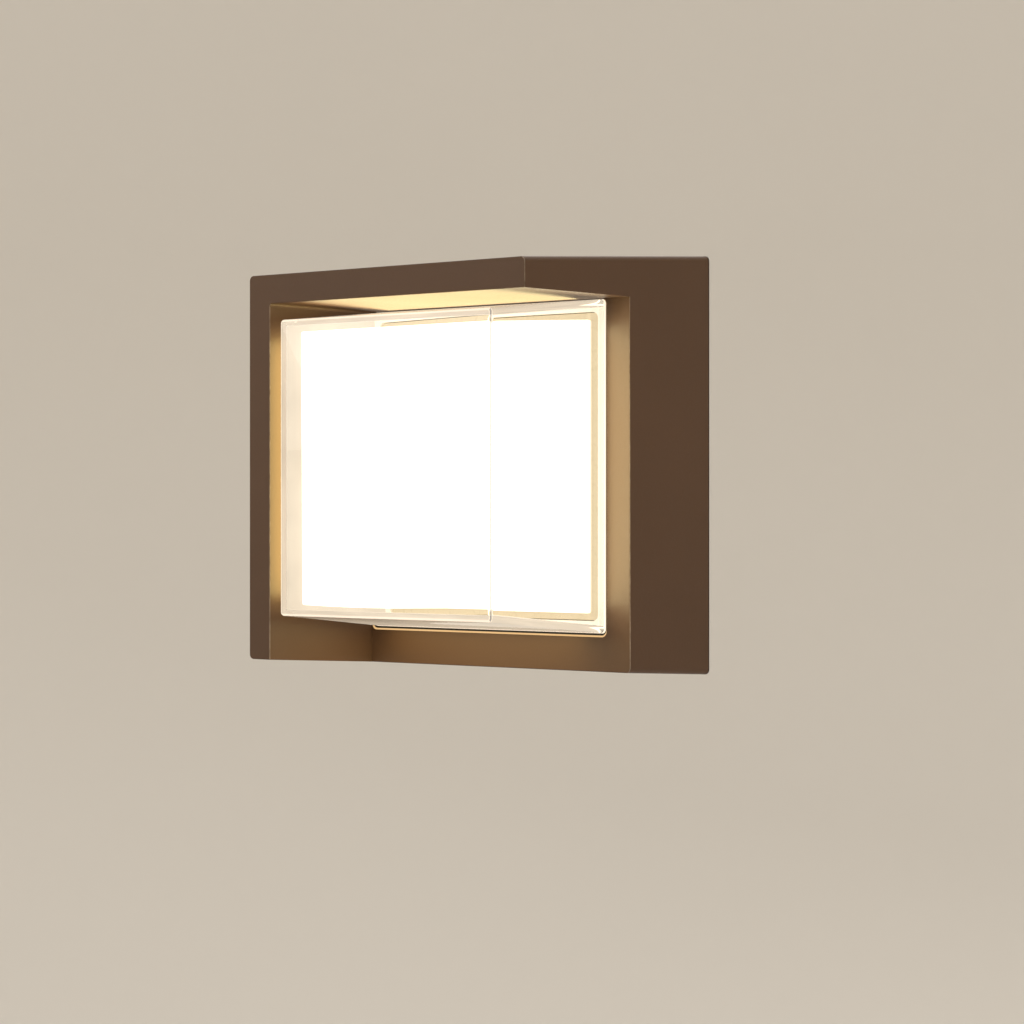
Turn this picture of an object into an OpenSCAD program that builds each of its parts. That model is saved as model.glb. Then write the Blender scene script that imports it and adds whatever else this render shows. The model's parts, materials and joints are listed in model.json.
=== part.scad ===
// Square outdoor wall lantern: a die-cast housing with an L-shaped hood round a clear cover.
// The wall is the plane y = 0 and the lantern stands out from it along -y. +z is up.
// "d" in names and arguments is the distance out from the wall, so y = -d.

/* [Housing] */
// Width at the wall
body_w = 200; // [190:1:240]
// Height at the wall
body_h = 200; // [190:1:240]
// How far the hood stands out from the wall
body_d = 121; // [115:1:140]
// Thickness of the base, from the wall to the face behind the cover
base_d = 53.5; // [53:0.5:58]
// Draft of the left and right sides, in degrees
side_draft = 2.75; // [1:0.05:3.5]
// Draft of the top, in degrees
top_draft = 2.95; // [1:0.05:3.5]
// Draft of the bottom, in degrees
bottom_draft = 2.55; // [1:0.05:3.5]
// Radius of the long edges
edge_r = 2.5; // [1:0.5:4]
// Thickness of the hood's left wall at its front edge
hood_left_t = 14.9; // [12:0.1:16]
// Thickness of the hood's top wall at its front edge
hood_top_t = 14.2; // [12:0.1:16]
// Draft of the hood's inner faces, in degrees
hood_draft = 1.1; // [0.5:0.1:1.5]

/* [Clear cover and diffuser] */
// Width and height of the cover's front face
cover_w = 144.2; // [138:0.1:146]
// How far the cover's front face stands out past the hood
cover_proud = 1.5; // [0:0.5:4]
// Draft of the cover, in degrees
cover_draft = 5.3; // [4:0.1:5.5]
// Sideways offset of the cover from the middle of the housing
cover_x = 2.1; // [1.5:0.1:6]
// Upward offset of the cover from the middle of the housing
cover_z = -0.8; // [-4:0.1:-0.8]
// Wall of the clear cover
cover_t = 3; // [2:0.5:3.5]
// Radius of the cover's long edges
cover_r = 2; // [1.5:0.5:4]
// Space from the cover's outer face to the diffuser's outer face, at the diffuser's front
diffuser_inset = 6.6; // [5:0.1:8]
// How far the diffuser's front lies behind the cover's front
diffuser_back = 10.5; // [6:0.5:14]
// Wall of the diffuser
diffuser_t = 2; // [1.5:0.5:2.5]
// Draft of the diffuser, in degrees
diffuser_draft = 2.8; // [2:0.1:5]
// Radius of the diffuser's long edges
diffuser_r = 1.2; // [1:0.1:3]

/* [Light source] */
// LEDs along each side of the board
leds_a_side = 6; // [4:1:8]
// Distance between LEDs
led_pitch = 20; // [14:1:20]

/* [Wall bracket] */
// Width of the bracket
bracket_w = 90; // [80:1:100]
// Sheet thickness of the bracket
bracket_t = 1.5; // [1:0.5:2]
// Length of the bracket's bent flanges
flange_d = 12; // [10:1:13]
// Distance between the middles of the two wall slots
slot_spacing = 60; // [54:1:66]
// Length of each wall slot, end to end
slot_l = 14; // [8:1:16]
// Width of each wall slot
slot_w = 4.5; // [4:0.5:6]
// Diameter of the cable hole
cable_hole = 24; // [16:1:26]

/* [Hidden] */

$fn = 48;
hull_fn = 32;
skin = 0.05;         // thickness of the slices that a hull joins
past = 1;            // how far a cut runs past the face that it opens
clear = 0.3;         // gap between parts of different bodies

// Housing: wall thicknesses and the depths at which its inside steps
rim_t = 3.5;         // wall round the rear recess
chamber_wall = 6.5;  // wall round the sealed chamber, whose rear end seats the back cover
chamber_r = 16;      // large corner radius, which leaves metal for the cover's corner screws
seat_d = 18;         // where the back cover's gasket seats
web_d = 39.5;        // rear face of the web that carries the light source
pocket_d = 44.5;     // front face of that web
rebate_d = 49.5;     // floor of the rebate that takes the clear cover
rebate_gap = 1.2;    // gap round the cover in the rebate
rebate_top_gap = 0.4;
lip = 0.8;           // bevel on the rebate's edge
foam_t = 1.8;        // foam strip round the rear recess
foam_w = 3.8;
core_wall = 3.5;     // wall between the hood's inner face and its core
core_end = 4;        // wall at the front of the hood's cores
cut_far = 40;        // how far the hood's open corner is cut past the housing

// Bracket and the screws that hold the housing on it
hang_z = 91.8;       // outer face of the bracket's flanges
boss_x = 30;
boss_w = 12;
boss_d0 = 2;
boss_d1 = 12.5;
screw_d = 7;         // distance of the set screws from the wall
set_r = 2;           // M4
set_head_z = 99.2;   // outer end of a set screw
earth_x = 26;        // bracket's earth screw
earth_z = 60;

// Back cover
cover_plate_t = 2;
gasket_t = 0.8;
plate_d1 = seat_d - gasket_t;
plate_d0 = plate_d1 - cover_plate_t;
plate_inset = 4.2;   // from the outer face to the plate's edge
plate_screw = 90.6;  // half the distance between the corner screws
gasket_gap = 0.5;    // from the chamber's edge to the gasket
gasket_w = 2.1;

// Gland, terminal block, driver
gland_x = -22;
gland_z = -50;
block_x = 16;
block_z = -50;
block_w = 18;
block_h = 19;
block_d0 = 5;
pole = 6;            // distance between the block's poles
button_w = 3.4;
button_travel = 1.8;
button_out = 2.2;
driver_x = 8;
driver_z = 34;
driver_w = 96;
driver_h = 42;
driver_t = 18;
driver_wall = 1.8;
post_x = -58;        // post of the earth screw
post_z = -58;
lug_d = 37.6;        // middle of the earth lug's barrel
lead_d = 30;         // where the leads enter the driver
exit_x = -56;        // hole that the LED leads pass through
exit_z = 0;
board_t = 1.6;
pad_t = 0.5;
sheet_t = 0.5;

// Derived sizes
side_tan = tan(side_draft);
top_tan = tan(top_draft);
bottom_tan = tan(bottom_draft);
hood_tan = tan(hood_draft);
cover_tan = tan(cover_draft);
diffuser_tan = tan(diffuser_draft);
cover_d = body_d + cover_proud;
diffuser_d = cover_d - diffuser_back;
seal_t = 1;
cover_inner_r = max(cover_r - 2, 0.8);
flange_t = 1.5;      // the diffuser's flange, which fills the pocket's outline
pocket_r = 3;        // the pocket's corners
cover_root = rebate_d + seal_t;
board_d = pocket_d + pad_t;
sheet_d = board_d + board_t;
diffuser_root = sheet_d + sheet_t;
driver_d = web_d - driver_t;

// Rectangles are [left, right, bottom, top] as seen from the front
function outer(d) = [
    -body_w / 2 + d * side_tan, body_w / 2 - d * side_tan,
    -body_h / 2 + d * bottom_tan, body_h / 2 - d * top_tan
];
function inset(rect, a) = [rect[0] + a, rect[1] - a, rect[2] + a, rect[3] - a];
function square_at(x, z, half) = [x - half, x + half, z - half, z + half];
function mouth_left(d) = outer(body_d)[0] + hood_left_t + (body_d - d) * hood_tan;
function mouth_top(d) = outer(body_d)[3] - hood_top_t - (body_d - d) * hood_tan;
function mouth(d) = [mouth_left(d), body_w / 2 + cut_far, -body_h / 2 - cut_far, mouth_top(d)];
function cover_half(d) = cover_w / 2 + (cover_d - d) * cover_tan;
function cover(d, in = 0) = square_at(cover_x, cover_z, cover_half(d) - in);
function diffuser_half(d) = cover_half(diffuser_d) - diffuser_inset + (diffuser_d - d) * diffuser_tan;
function opal(d, in = 0) = square_at(cover_x, cover_z, diffuser_half(d) - in);
pocket_half = cover_half(cover_root) - 5.6;      // half the side of the light source's pocket
lug = diffuser_half(diffuser_root) - 6.2;        // half the distance between the board's corner screws
function spread(n, pitch) = [for (i = [0 : n - 1]) (i - (n - 1) / 2) * pitch];
rebate_half = cover_half(base_d) + rebate_gap;
rebate = [
    cover_x - rebate_half, cover_x + rebate_half, cover_z - rebate_half,
    min(cover_z + cover_half(base_d) + rebate_top_gap, mouth_top(base_d) - 0.05)
];
pocket = square_at(cover_x, cover_z, pocket_half);
chamber = inset(outer(0), chamber_wall + seat_d * side_tan + 1);
corners = [for (sx = [-1, 1], sz = [-1, 1]) [sx, sz]];

// Puts a flat drawing at distance d from the wall, growing outwards
module out(d) {
    translate([0, -d, 0])
        rotate([90, 0, 0])
            children();
}

module rounded(rect, r) {
    w = rect[1] - rect[0];
    h = rect[3] - rect[2];
    translate([rect[0], rect[2]]) {
        translate([r, 0]) square([w - 2 * r, h]);
        translate([0, r]) square([w, h - 2 * r]);
        for (x = [r, w - r], z = [r, h - r])
            translate([x, z]) circle(r);
    }
}

module block(d0, d1, rect, r) {
    out(d0)
        linear_extrude(d1 - d0)
            rounded(rect, r);
}

module ring(d0, d1, outer_rect, r, w) {
    difference() {
        block(d0, d1, outer_rect, r);
        block(d0 - past, d1 + past, inset(outer_rect, w), max(r - w, 0.3));
    }
}

module tapered(d0, rect0, d1, rect1, r) {
    hull() {
        block(d0, d0 + skin, rect0, r, $fn = hull_fn);
        block(d1 - skin, d1, rect1, r, $fn = hull_fn);
    }
}

module rod(x, z, d0, d1, r) {
    out(d0)
        translate([x, z, 0])
            cylinder(h = d1 - d0, r = r);
}

// A machine screw along the wall's normal: its head is at head_d and its shank runs to tip_d
module screw(x, z, head_d, tip_d, shank_r, head_r, head_t, socket_r) {
    way = tip_d > head_d ? 1 : -1;
    low = way > 0 ? head_d - head_t : head_d;
    difference() {
        union() {
            rod(x, z, min(head_d, tip_d), max(head_d, tip_d), shank_r);
            rod(x, z, low, low + head_t, head_r);
        }
        out(way > 0 ? low - past : low + head_t * 0.4)
            translate([x, z, 0])
                cylinder(h = past + head_t * 0.6, r = socket_r, $fn = 6);
    }
}

module washer(x, z, d0, t, r_out, r_in) {
    difference() {
        rod(x, z, d0, d0 + t, r_out);
        rod(x, z, d0 - past, d0 + t + past, r_in);
    }
}

// A round wire along a smooth curve through points [x, d, z]: rings of corners, joined by one skin
wire_sides = 10;
wire_steps = 4;      // rings for each stretch between two points
function unit(v) = v / norm(v);
function bend(p, i, t) = let (
    a = p[max(i - 1, 0)], b = p[i], c = p[i + 1], e = p[min(i + 2, len(p) - 1)]
) 0.5 * (2 * b + (c - a) * t + (2 * a - 5 * b + 4 * c - e) * t * t + (3 * b - a - 3 * c + e) * t * t * t);
function curve(p) = concat(
    [for (i = [0 : len(p) - 2], k = [0 : wire_steps - 1]) bend(p, i, k / wire_steps)],
    [p[len(p) - 1]]
);
function headings(p) = [
    for (i = [0 : len(p) - 1]) unit(p[min(i + 1, len(p) - 1)] - p[max(i - 1, 0)])
];
function sideways(h, i, n) = i == len(h) ? [] :
    let (s = unit(n - (n * h[i]) * h[i])) concat([s], sideways(h, i + 1, s));

module wire(points, r) {
    path = curve([for (p = points) [p[0], -p[1], p[2]]]);
    h = headings(path);
    s = sideways(h, 0, abs(h[0][2]) < 0.8 ? [0, 0, 1] : [1, 0, 0]);
    n = wire_sides;
    last = (len(path) - 1) * n;
    corners_of_rings = [
        for (i = [0 : len(path) - 1], k = [0 : n - 1])
            path[i] + r * (cos(k * 360 / n) * s[i] + sin(k * 360 / n) * cross(h[i], s[i]))
    ];
    skin_faces = [
        for (i = [0 : len(path) - 2], k = [0 : n - 1], half = [0, 1])
            let (a = i * n + k, b = i * n + (k + 1) % n)
                half == 0 ? [a, a + n, b] : [b, a + n, b + n]
    ];
    ends = [[for (k = [0 : n - 1]) k], [for (k = [0 : n - 1]) last + n - 1 - k]];
    polyhedron(corners_of_rings, concat(skin_faces, ends), convexity = 4);
}

// A straight round hole along x for a wire
module wire_hole(x0, x1, d, z, r) {
    translate([x0, -d, z])
        rotate([0, 90, 0])
            cylinder(h = x1 - x0, r = r);
}

// ---- Wall bracket ----

module wall_bracket() {
    half = bracket_w / 2;
    color("silver")
        difference() {
            union() {
                block(0, bracket_t, [-half, half, -hang_z, hang_z], 2);
                for (s = [-1, 1])
                    block(0, flange_d, [-half, half, min(s * hang_z, s * (hang_z - bracket_t)),
                                        max(s * hang_z, s * (hang_z - bracket_t))], 0.4);
            }
            rod(0, 0, -past, bracket_t + past, cable_hole / 2);
            for (s = [-1, 1])
                block(-past, bracket_t + past,
                      [s * slot_spacing / 2 - slot_l / 2, s * slot_spacing / 2 + slot_l / 2,
                       -slot_w / 2, slot_w / 2], slot_w / 2 - 0.001);
            rod(earth_x, earth_z, -past, bracket_t + past, set_r);
        }
}

module bracket_earth_screw() {
    color("gold")
        screw(earth_x, earth_z, bracket_t + 0.8, 0.2, set_r, 3.8, 2.4, 1.5);
}

module bracket_earth_washer() {
    color("silver")
        washer(earth_x, earth_z, bracket_t, 0.8, 4.5, set_r);
}

// ---- Housing ----

module hood_cores() {
    top = chamber[3];
    left = chamber[0];
    right = chamber[1];
    front_d = body_d - core_end;
    tapered(web_d - past, [left, right, mouth_top(base_d) + core_wall, top],
            front_d, [left + 1.5, right - 2, mouth_top(front_d) + core_wall, top - 2], 1.5);
    tapered(web_d - past, [left, mouth_left(base_d) - core_wall, chamber[2], top],
            front_d, [left + 1.5, mouth_left(front_d) - core_wall, chamber[2] + 1, top - 2], 1.5);
}

module fixing_bosses() {
    for (x = [-boss_x, boss_x]) {
        block(boss_d0, boss_d1, [x - boss_w / 2, x + boss_w / 2, -body_h / 2 + rim_t - 1, -hang_z - clear], 1);
        block(boss_d0, boss_d1, [x - boss_w / 2, x + boss_w / 2, hang_z + clear, body_h / 2 - rim_t + 1], 1);
    }
}

module housing() {
    color([0.36, 0.28, 0.22])
        difference() {
            union() {
                difference() {
                    tapered(0, outer(0), body_d, outer(body_d), edge_r);
                    tapered(-skin, inset(outer(0), rim_t), seat_d, inset(outer(seat_d), rim_t), edge_r);
                }
                fixing_bosses();
            }
            tapered(base_d, mouth(base_d), body_d + past, mouth(body_d + past), 1.5);
            block(seat_d - past, web_d, chamber, chamber_r);
            hood_cores();
            block(rebate_d, base_d + skin, rebate, cover_r + 1);
            tapered(base_d - lip, rebate, base_d + skin,
                    [rebate[0], rebate[1] + lip, rebate[2] - lip, rebate[3]], cover_r + 1);
            block(pocket_d, base_d, pocket, pocket_r);
            rod(exit_x, exit_z, web_d - past, pocket_d + past, 4);
            for (c = corners) {
                rod(c[0] * plate_screw, c[1] * plate_screw, seat_d - past, seat_d + 9, 1.5);
                rod(cover_x + c[0] * lug, cover_z + c[1] * lug, pocket_d - 4, pocket_d + past, 1.5);
            }
            for (x = [-boss_x, boss_x])
                translate([x, -screw_d, -body_h / 2 - past])
                    cylinder(h = body_h / 2 - hang_z + 2 * past, r = set_r + 0.05);
            rod(post_x, post_z, web_d - past, web_d + 3.5, set_r);
            for (s = [-1, 1])
                rod(driver_x + s * (driver_w / 2 + 5), driver_z, web_d - past, web_d + 3.5, 1.5);
        }
}

module wall_gasket() {
    color([0.15, 0.15, 0.15])
        ring(0, foam_t, inset(outer(foam_t), rim_t + 0.02), edge_r + 0.2, foam_w);
}

module set_screw(x) {
    color([0.3, 0.3, 0.32])
        translate([x, -screw_d, -set_head_z])
            difference() {
                cylinder(h = set_head_z - hang_z, r = set_r);
                translate([0, 0, -past]) cylinder(h = past + 2.5, r = 1.15, $fn = 6);
            }
}

// ---- Back cover ----

module back_cover() {
    color([0.75, 0.75, 0.76])
        difference() {
            block(plate_d0, plate_d1, inset(outer(plate_d1), plate_inset), 3);
            for (c = corners)
                rod(c[0] * plate_screw, c[1] * plate_screw, plate_d0 - past, plate_d1 + past, 1.7);
            rod(gland_x, gland_z, plate_d0 - past, plate_d1 + past, 6);
            rod(gland_x - 24, gland_z, plate_d0 - past, plate_d1 + past, 3);
            for (s = [-1, 1])
                rod(block_x, block_z + s * (block_h / 2 + 4), plate_d0 - past, plate_d1 + past, 1.25);
        }
}

module back_gasket() {
    grow = gasket_gap + gasket_w;
    color("orangered")
        ring(plate_d1, seat_d, inset(chamber, -grow), chamber_r + grow, gasket_w);
}

module back_cover_screws() {
    color("silver")
        for (c = corners)
            screw(c[0] * plate_screw, c[1] * plate_screw, plate_d0, seat_d + 7, 1.5, 2.8, 2, 1.2);
}

module breather_plug() {
    color([0.2, 0.2, 0.2])
        union() {
            rod(gland_x - 24, gland_z, plate_d0 - 3, plate_d0, 5);
            rod(gland_x - 24, gland_z, plate_d0, plate_d1 + 3, 3);
        }
}

// ---- Cable gland and mains wiring ----

module cable_gland() {
    color([0.12, 0.12, 0.13])
        difference() {
            union() {
                out(plate_d0 - 4)
                    translate([gland_x, gland_z, 0])
                        cylinder(h = 4, r = 8.5, $fn = 6);
                rod(gland_x, gland_z, plate_d0 - 7, plate_d0 - 4, 6.6);
                rod(gland_x, gland_z, plate_d0, plate_d1 + 6, 6);
            }
            rod(gland_x, gland_z, plate_d0 - 8, plate_d1 + 7, 4.2);
        }
}

module gland_nut() {
    color([0.12, 0.12, 0.13])
        difference() {
            out(plate_d1)
                translate([gland_x, gland_z, 0])
                    cylinder(h = 3.5, r = 9, $fn = 6);
            rod(gland_x, gland_z, plate_d1 - past, plate_d1 + 4.5, 6);
        }
}

module gland_seal() {
    color([0.3, 0.3, 0.3])
        washer(gland_x, gland_z, plate_d0 - 6.5, 12, 4.2, 3.2);
}

module cable_sheath() {
    color([0.1, 0.1, 0.1])
        washer(gland_x, gland_z, plate_d0 - 7.5, 15, 3.2, 2.4);
}

// Cores leave the sheath at its rear end for the terminal block and at its front end for the driver
core_r = 0.9;
core_offsets = [[-0.65, 1.13], [1.3, 0], [-0.65, -1.13]];
sheath_rear = plate_d0 - 7.5;
entry_d = 10.5;
function core_start(i) = [gland_x + core_offsets[i][0], gland_z + core_offsets[i][1]];
// The neutral core lies between the others, so it turns nearer to the sheath
function turn_d(i) = sheath_rear - (i == 1 ? 1.8 : 3.6);
function terminal_run(i) = let (
    s = core_start(i), z = block_z + (1 - i) * pole, x = block_x - block_w / 2
) [
    [x + 2.5, entry_d, z],
    [x - 3, entry_d, z],
    [gland_x + 14, entry_d - 3.5, 0.8 * z + 0.2 * s[1]],
    [gland_x + 7, turn_d(i), (z + s[1]) / 2],
    [s[0] + 2.2, turn_d(i), s[1]],
    [s[0], sheath_rear - 0.2, s[1]],
    [s[0], sheath_rear + 3, s[1]],
    [s[0], 22, s[1]],
    [s[0], 26, s[1]]
];

module live_core() {
    color([0.45, 0.25, 0.12])
        wire(concat(terminal_run(0), [
            [gland_x - 1.4, 29, gland_z + 2.6],
            [gland_x - 3, 32, gland_z + 8],
            [gland_x - 16, 32, gland_z + 40],
            [driver_x - driver_w / 2 - 8, lead_d, driver_z - 20],
            [driver_x - driver_w / 2 - 3, lead_d, driver_z - 14],
            [driver_x - driver_w / 2 + 1, lead_d, driver_z - 14]
        ]), core_r);
}

module neutral_core() {
    color([0.1, 0.3, 0.7])
        wire(concat(terminal_run(1), [
            [gland_x + 3, 31, gland_z + 8],
            [gland_x - 14, 27, gland_z + 42],
            [driver_x - driver_w / 2 - 12, 28, driver_z - 16],
            [driver_x - driver_w / 2 - 3, lead_d, driver_z - 8],
            [driver_x - driver_w / 2 + 1, lead_d, driver_z - 8]
        ]), core_r);
}

module earth_core() {
    color([0.4, 0.65, 0.15])
        wire(concat(terminal_run(2), [
            [gland_x - 1.6, 29, gland_z - 2.2],
            [gland_x - 4, 33, gland_z - 6],
            [post_x + 24, 36, post_z + 2],
            [post_x + 15, lug_d, post_z],
            [post_x + 11, lug_d, post_z],
            [post_x + 7, lug_d, post_z]
        ]), core_r);
}

// ---- Terminal block ----

module terminal_block() {
    rear = block_d0;
    front = plate_d0;
    color([0.85, 0.84, 0.8])
        difference() {
            union() {
                block(rear, front, [block_x - block_w / 2, block_x + block_w / 2,
                                    block_z - block_h / 2, block_z + block_h / 2], 0.8);
                block(front - 3, front, [block_x - 4, block_x + 4,
                                         block_z - block_h / 2 - 7.5, block_z + block_h / 2 + 7.5], 1.5);
            }
            for (s = [-1, 1])
                rod(block_x, block_z + s * (block_h / 2 + 4), front - 3 - past, front + past, 1.6);
            for (z = spread(3, pole)) {
                // wells for the buttons, wire entries from both sides and the clamps' chamber
                block(rear - past, rear + 5,
                      square_at(block_x, block_z + z, button_w / 2 + clear), 0.4);
                block(entry_d - 1.3, entry_d + 1.3,
                      [block_x - block_w / 2 - past, block_x + block_w / 2 + past,
                       block_z + z - 1.3, block_z + z + 1.3], 0.3);
            }
        }
}

module terminal_clamps() {
    color("gold")
        for (z = spread(3, pole))
            block(entry_d + 0.3, entry_d + 1.1,
                  [block_x - 6, block_x + 6, block_z + z - 1, block_z + z + 1], 0.3);
}

module terminal_screws() {
    color("silver")
        for (s = [-1, 1])
            screw(block_x, block_z + s * (block_h / 2 + 4), plate_d0 - 3, plate_d1 + 1.5, 1.25, 2.5, 1.8, 1.1);
}

module terminal_button(pole_number) {
    color("orange")
        block(block_d0 - button_out, block_d0 + 5 - clear - button_travel,
              square_at(block_x, block_z + (1 - pole_number) * pole, button_w / 2), 0.4);
}

// ---- Protective earth on the housing ----

module earth_screw() {
    color("gold")
        screw(post_x, post_z, web_d - 2.6, web_d + 3, set_r, 3.8, 2.4, 1.5);
}

module earth_washer() {
    color("silver")
        washer(post_x, post_z, web_d - 0.8, 0.8, 4.5, set_r);
}

module earth_lug() {
    ring_d = web_d - 2.6;
    color("goldenrod")
        union() {
            difference() {
                union() {
                    rod(post_x, post_z, ring_d, ring_d + 1.8, 4.5);
                    block(ring_d, ring_d + 1.8, [post_x, post_x + 9, post_z - 1.8, post_z + 1.8], 0.4);
                }
                rod(post_x, post_z, ring_d - past, ring_d + 3, set_r);
                wire_hole(post_x + 6.9, post_x + 10, lug_d, post_z, core_r + 0.02);
            }
        }
}

// ---- Driver ----

module driver_case() {
    rect = [driver_x - driver_w / 2, driver_x + driver_w / 2, driver_z - driver_h / 2, driver_z + driver_h / 2];
    ear = 10;
    color([0.9, 0.9, 0.88])
        difference() {
            union() {
                block(driver_d + 1.5, web_d, rect, 2);
                block(web_d - 2.5, web_d, [rect[0] - ear, rect[1] + ear, driver_z - 5, driver_z + 5], 3);
            }
            block(driver_d, web_d - driver_wall, inset(rect, driver_wall), 1);
            for (s = [-1, 1])
                rod(driver_x + s * (driver_w / 2 + 5), driver_z, web_d - 4, web_d + past, 1.6);
            for (z = [-14, -8, 4, 9])
                wire_hole(rect[0] - past, rect[0] + 3, lead_d, driver_z + z, core_r + 0.3);
        }
}

module driver_lid() {
    rect = [driver_x - driver_w / 2, driver_x + driver_w / 2, driver_z - driver_h / 2, driver_z + driver_h / 2];
    color([0.9, 0.9, 0.88])
        union() {
            block(driver_d, driver_d + 1.5, rect, 2);
            ring(driver_d + 1.5, driver_d + 3.5, inset(rect, driver_wall + 0.1), 1, 1.2);
        }
}

board_in = 3;
module driver_board() {
    color("darkgreen")
        block(web_d - 5, web_d - 3.4,
              [driver_x - driver_w / 2 + board_in, driver_x + driver_w / 2 - board_in,
               driver_z - driver_h / 2 + board_in, driver_z + driver_h / 2 - board_in], 0.5);
}

module driver_transformer() {
    color([0.75, 0.65, 0.2])
        difference() {
            block(web_d - 15, web_d - 5, [driver_x - 2, driver_x + 16, driver_z - 9, driver_z + 9], 1);
            block(web_d - 13, web_d - 7, [driver_x - 3, driver_x + 1, driver_z - 6, driver_z + 6], 0.5);
        }
}

module driver_capacitors() {
    color([0.15, 0.15, 0.2])
        for (x = [-32, -20, 30])
            rod(driver_x + x, driver_z + 8, web_d - 15, web_d - 5, 4.5);
}

module driver_screws() {
    color("silver")
        for (s = [-1, 1])
            screw(driver_x + s * (driver_w / 2 + 5), driver_z, web_d - 2.5, web_d + 3, 1.5, 2.8, 2, 1.2);
}

// ---- Leads from the driver to the LED board ----

connector_x = -44;
lead_gap = 1.5;      // from each lead to the middle of the exit hole
function output_run(z0, side) = [
    [driver_x - driver_w / 2 + 1, lead_d, driver_z + z0],
    [driver_x - driver_w / 2 - 3, lead_d, driver_z + z0],
    [driver_x - driver_w / 2 - 16 - 3 * side, lead_d, driver_z + z0 - 4],
    [exit_x - 12 - 3 * side, 31, exit_z + 20],
    [exit_x - 6.5 - 1.5 * side, 31, exit_z - side * lead_gap],
    [exit_x, 36, exit_z - side * lead_gap],
    [exit_x, sheet_d, exit_z - side * lead_gap],
    [exit_x + 2, sheet_d + 2.2, exit_z - side * lead_gap],
    [connector_x - 6, sheet_d + 2.4, exit_z - side * lead_gap],
    [connector_x - 4, sheet_d + 2.4, exit_z - side * lead_gap]
];

module output_lead_plus() {
    color("red")
        wire(output_run(9, 1), 0.8);
}

module output_lead_minus() {
    color([0.08, 0.08, 0.08])
        wire(output_run(4, -1), 0.8);
}

module wire_grommet() {
    color([0.2, 0.2, 0.2])
        difference() {
            union() {
                rod(exit_x, exit_z, web_d - 1.5, web_d, 6);
                rod(exit_x, exit_z, web_d, pocket_d, 4);
            }
            rod(exit_x, exit_z, web_d - 2 * past, pocket_d + past, 2.6);
        }
}

module board_connector() {
    color("ivory")
        block(sheet_d, sheet_d + 4, [connector_x - 4, connector_x + 4, exit_z - 3.5, exit_z + 3.5], 0.4);
}

// ---- Light source ----

module light_source_holes(d0, d1) {
    rod(exit_x, exit_z, d0 - past, d1 + past, 4);
    for (c = corners)
        rod(cover_x + c[0] * lug, cover_z + c[1] * lug, d0 - past, d1 + past, 1.7);
}

module thermal_pad() {
    color("slategray")
        difference() {
            block(pocket_d, board_d, inset(pocket, 1.5), 2);
            light_source_holes(pocket_d, board_d);
        }
}

module led_board() {
    color([0.92, 0.93, 0.94])
        difference() {
            block(board_d, sheet_d, inset(pocket, 0.7), 2.5);
            light_source_holes(board_d, sheet_d);
        }
}

module each_led() {
    for (x = spread(leds_a_side, led_pitch), z = spread(leds_a_side, led_pitch))
        translate([cover_x + x, 0, cover_z + z])
            children();
}

module led_chips() {
    color("khaki")
        each_led()
            block(sheet_d, sheet_d + 0.8, square_at(0, 0, 1.5), 0.2);
}

module reflector_sheet() {
    color("white")
        difference() {
            block(sheet_d, diffuser_root, inset(pocket, 0.7), 2.5);
            light_source_holes(sheet_d, diffuser_root);
            each_led()
                block(sheet_d - past, diffuser_root + past, square_at(0, 0, 2.4), 0.4);
            block(sheet_d - past, diffuser_root + past,
                  [connector_x - 5, connector_x + 5, exit_z - 4.5, exit_z + 4.5], 0.4);
        }
}

module board_screws() {
    color("silver")
        for (c = corners)
            screw(cover_x + c[0] * lug, cover_z + c[1] * lug, diffuser_root + 2, pocket_d - 3.5, 1.5, 2.8, 2, 1.2);
}

// ---- Diffuser, clear cover and seal ----

module diffuser() {
    inner_d = diffuser_d - diffuser_t;
    color([1, 0.98, 0.92])
        difference() {
            union() {
                difference() {
                    union() {
                        tapered(diffuser_root, opal(diffuser_root), diffuser_d, opal(diffuser_d), diffuser_r);
                        block(diffuser_root, diffuser_root + flange_t, inset(pocket, 0.4), pocket_r - 0.4);
                    }
                    tapered(diffuser_root - skin, opal(diffuser_root, diffuser_t),
                            inner_d, opal(inner_d, diffuser_t), 1);
                }
                for (c = corners)
                    block(diffuser_root, diffuser_root + 2,
                          square_at(cover_x + c[0] * (lug + 0.5), cover_z + c[1] * (lug + 0.5), 4.5), 1);
            }
            for (c = corners)
                rod(cover_x + c[0] * lug, cover_z + c[1] * lug, diffuser_root - past, diffuser_root + 3, 1.7);
        }
}

module lens_cover() {
    inner_d = cover_d - cover_t;
    color([0.85, 0.95, 1, 0.35])
        difference() {
            tapered(cover_root, cover(cover_root), cover_d, cover(cover_d), cover_r);
            tapered(cover_root - skin, cover(cover_root, cover_t), inner_d, cover(inner_d, cover_t), cover_inner_r);
        }
}

module cover_seal() {
    lap_d = cover_root + 1.6;    // how far the bead laps up the cover
    color([0.25, 0.22, 0.2])
        difference() {
            block(rebate_d, lap_d, inset(rebate, 0.02), cover_r + 1);
            tapered(cover_root, cover(cover_root, -0.005), lap_d + 0.2, cover(lap_d + 0.2, -0.005), cover_r);
            block(rebate_d - past, cover_root + past, pocket, pocket_r);
        }
}

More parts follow.
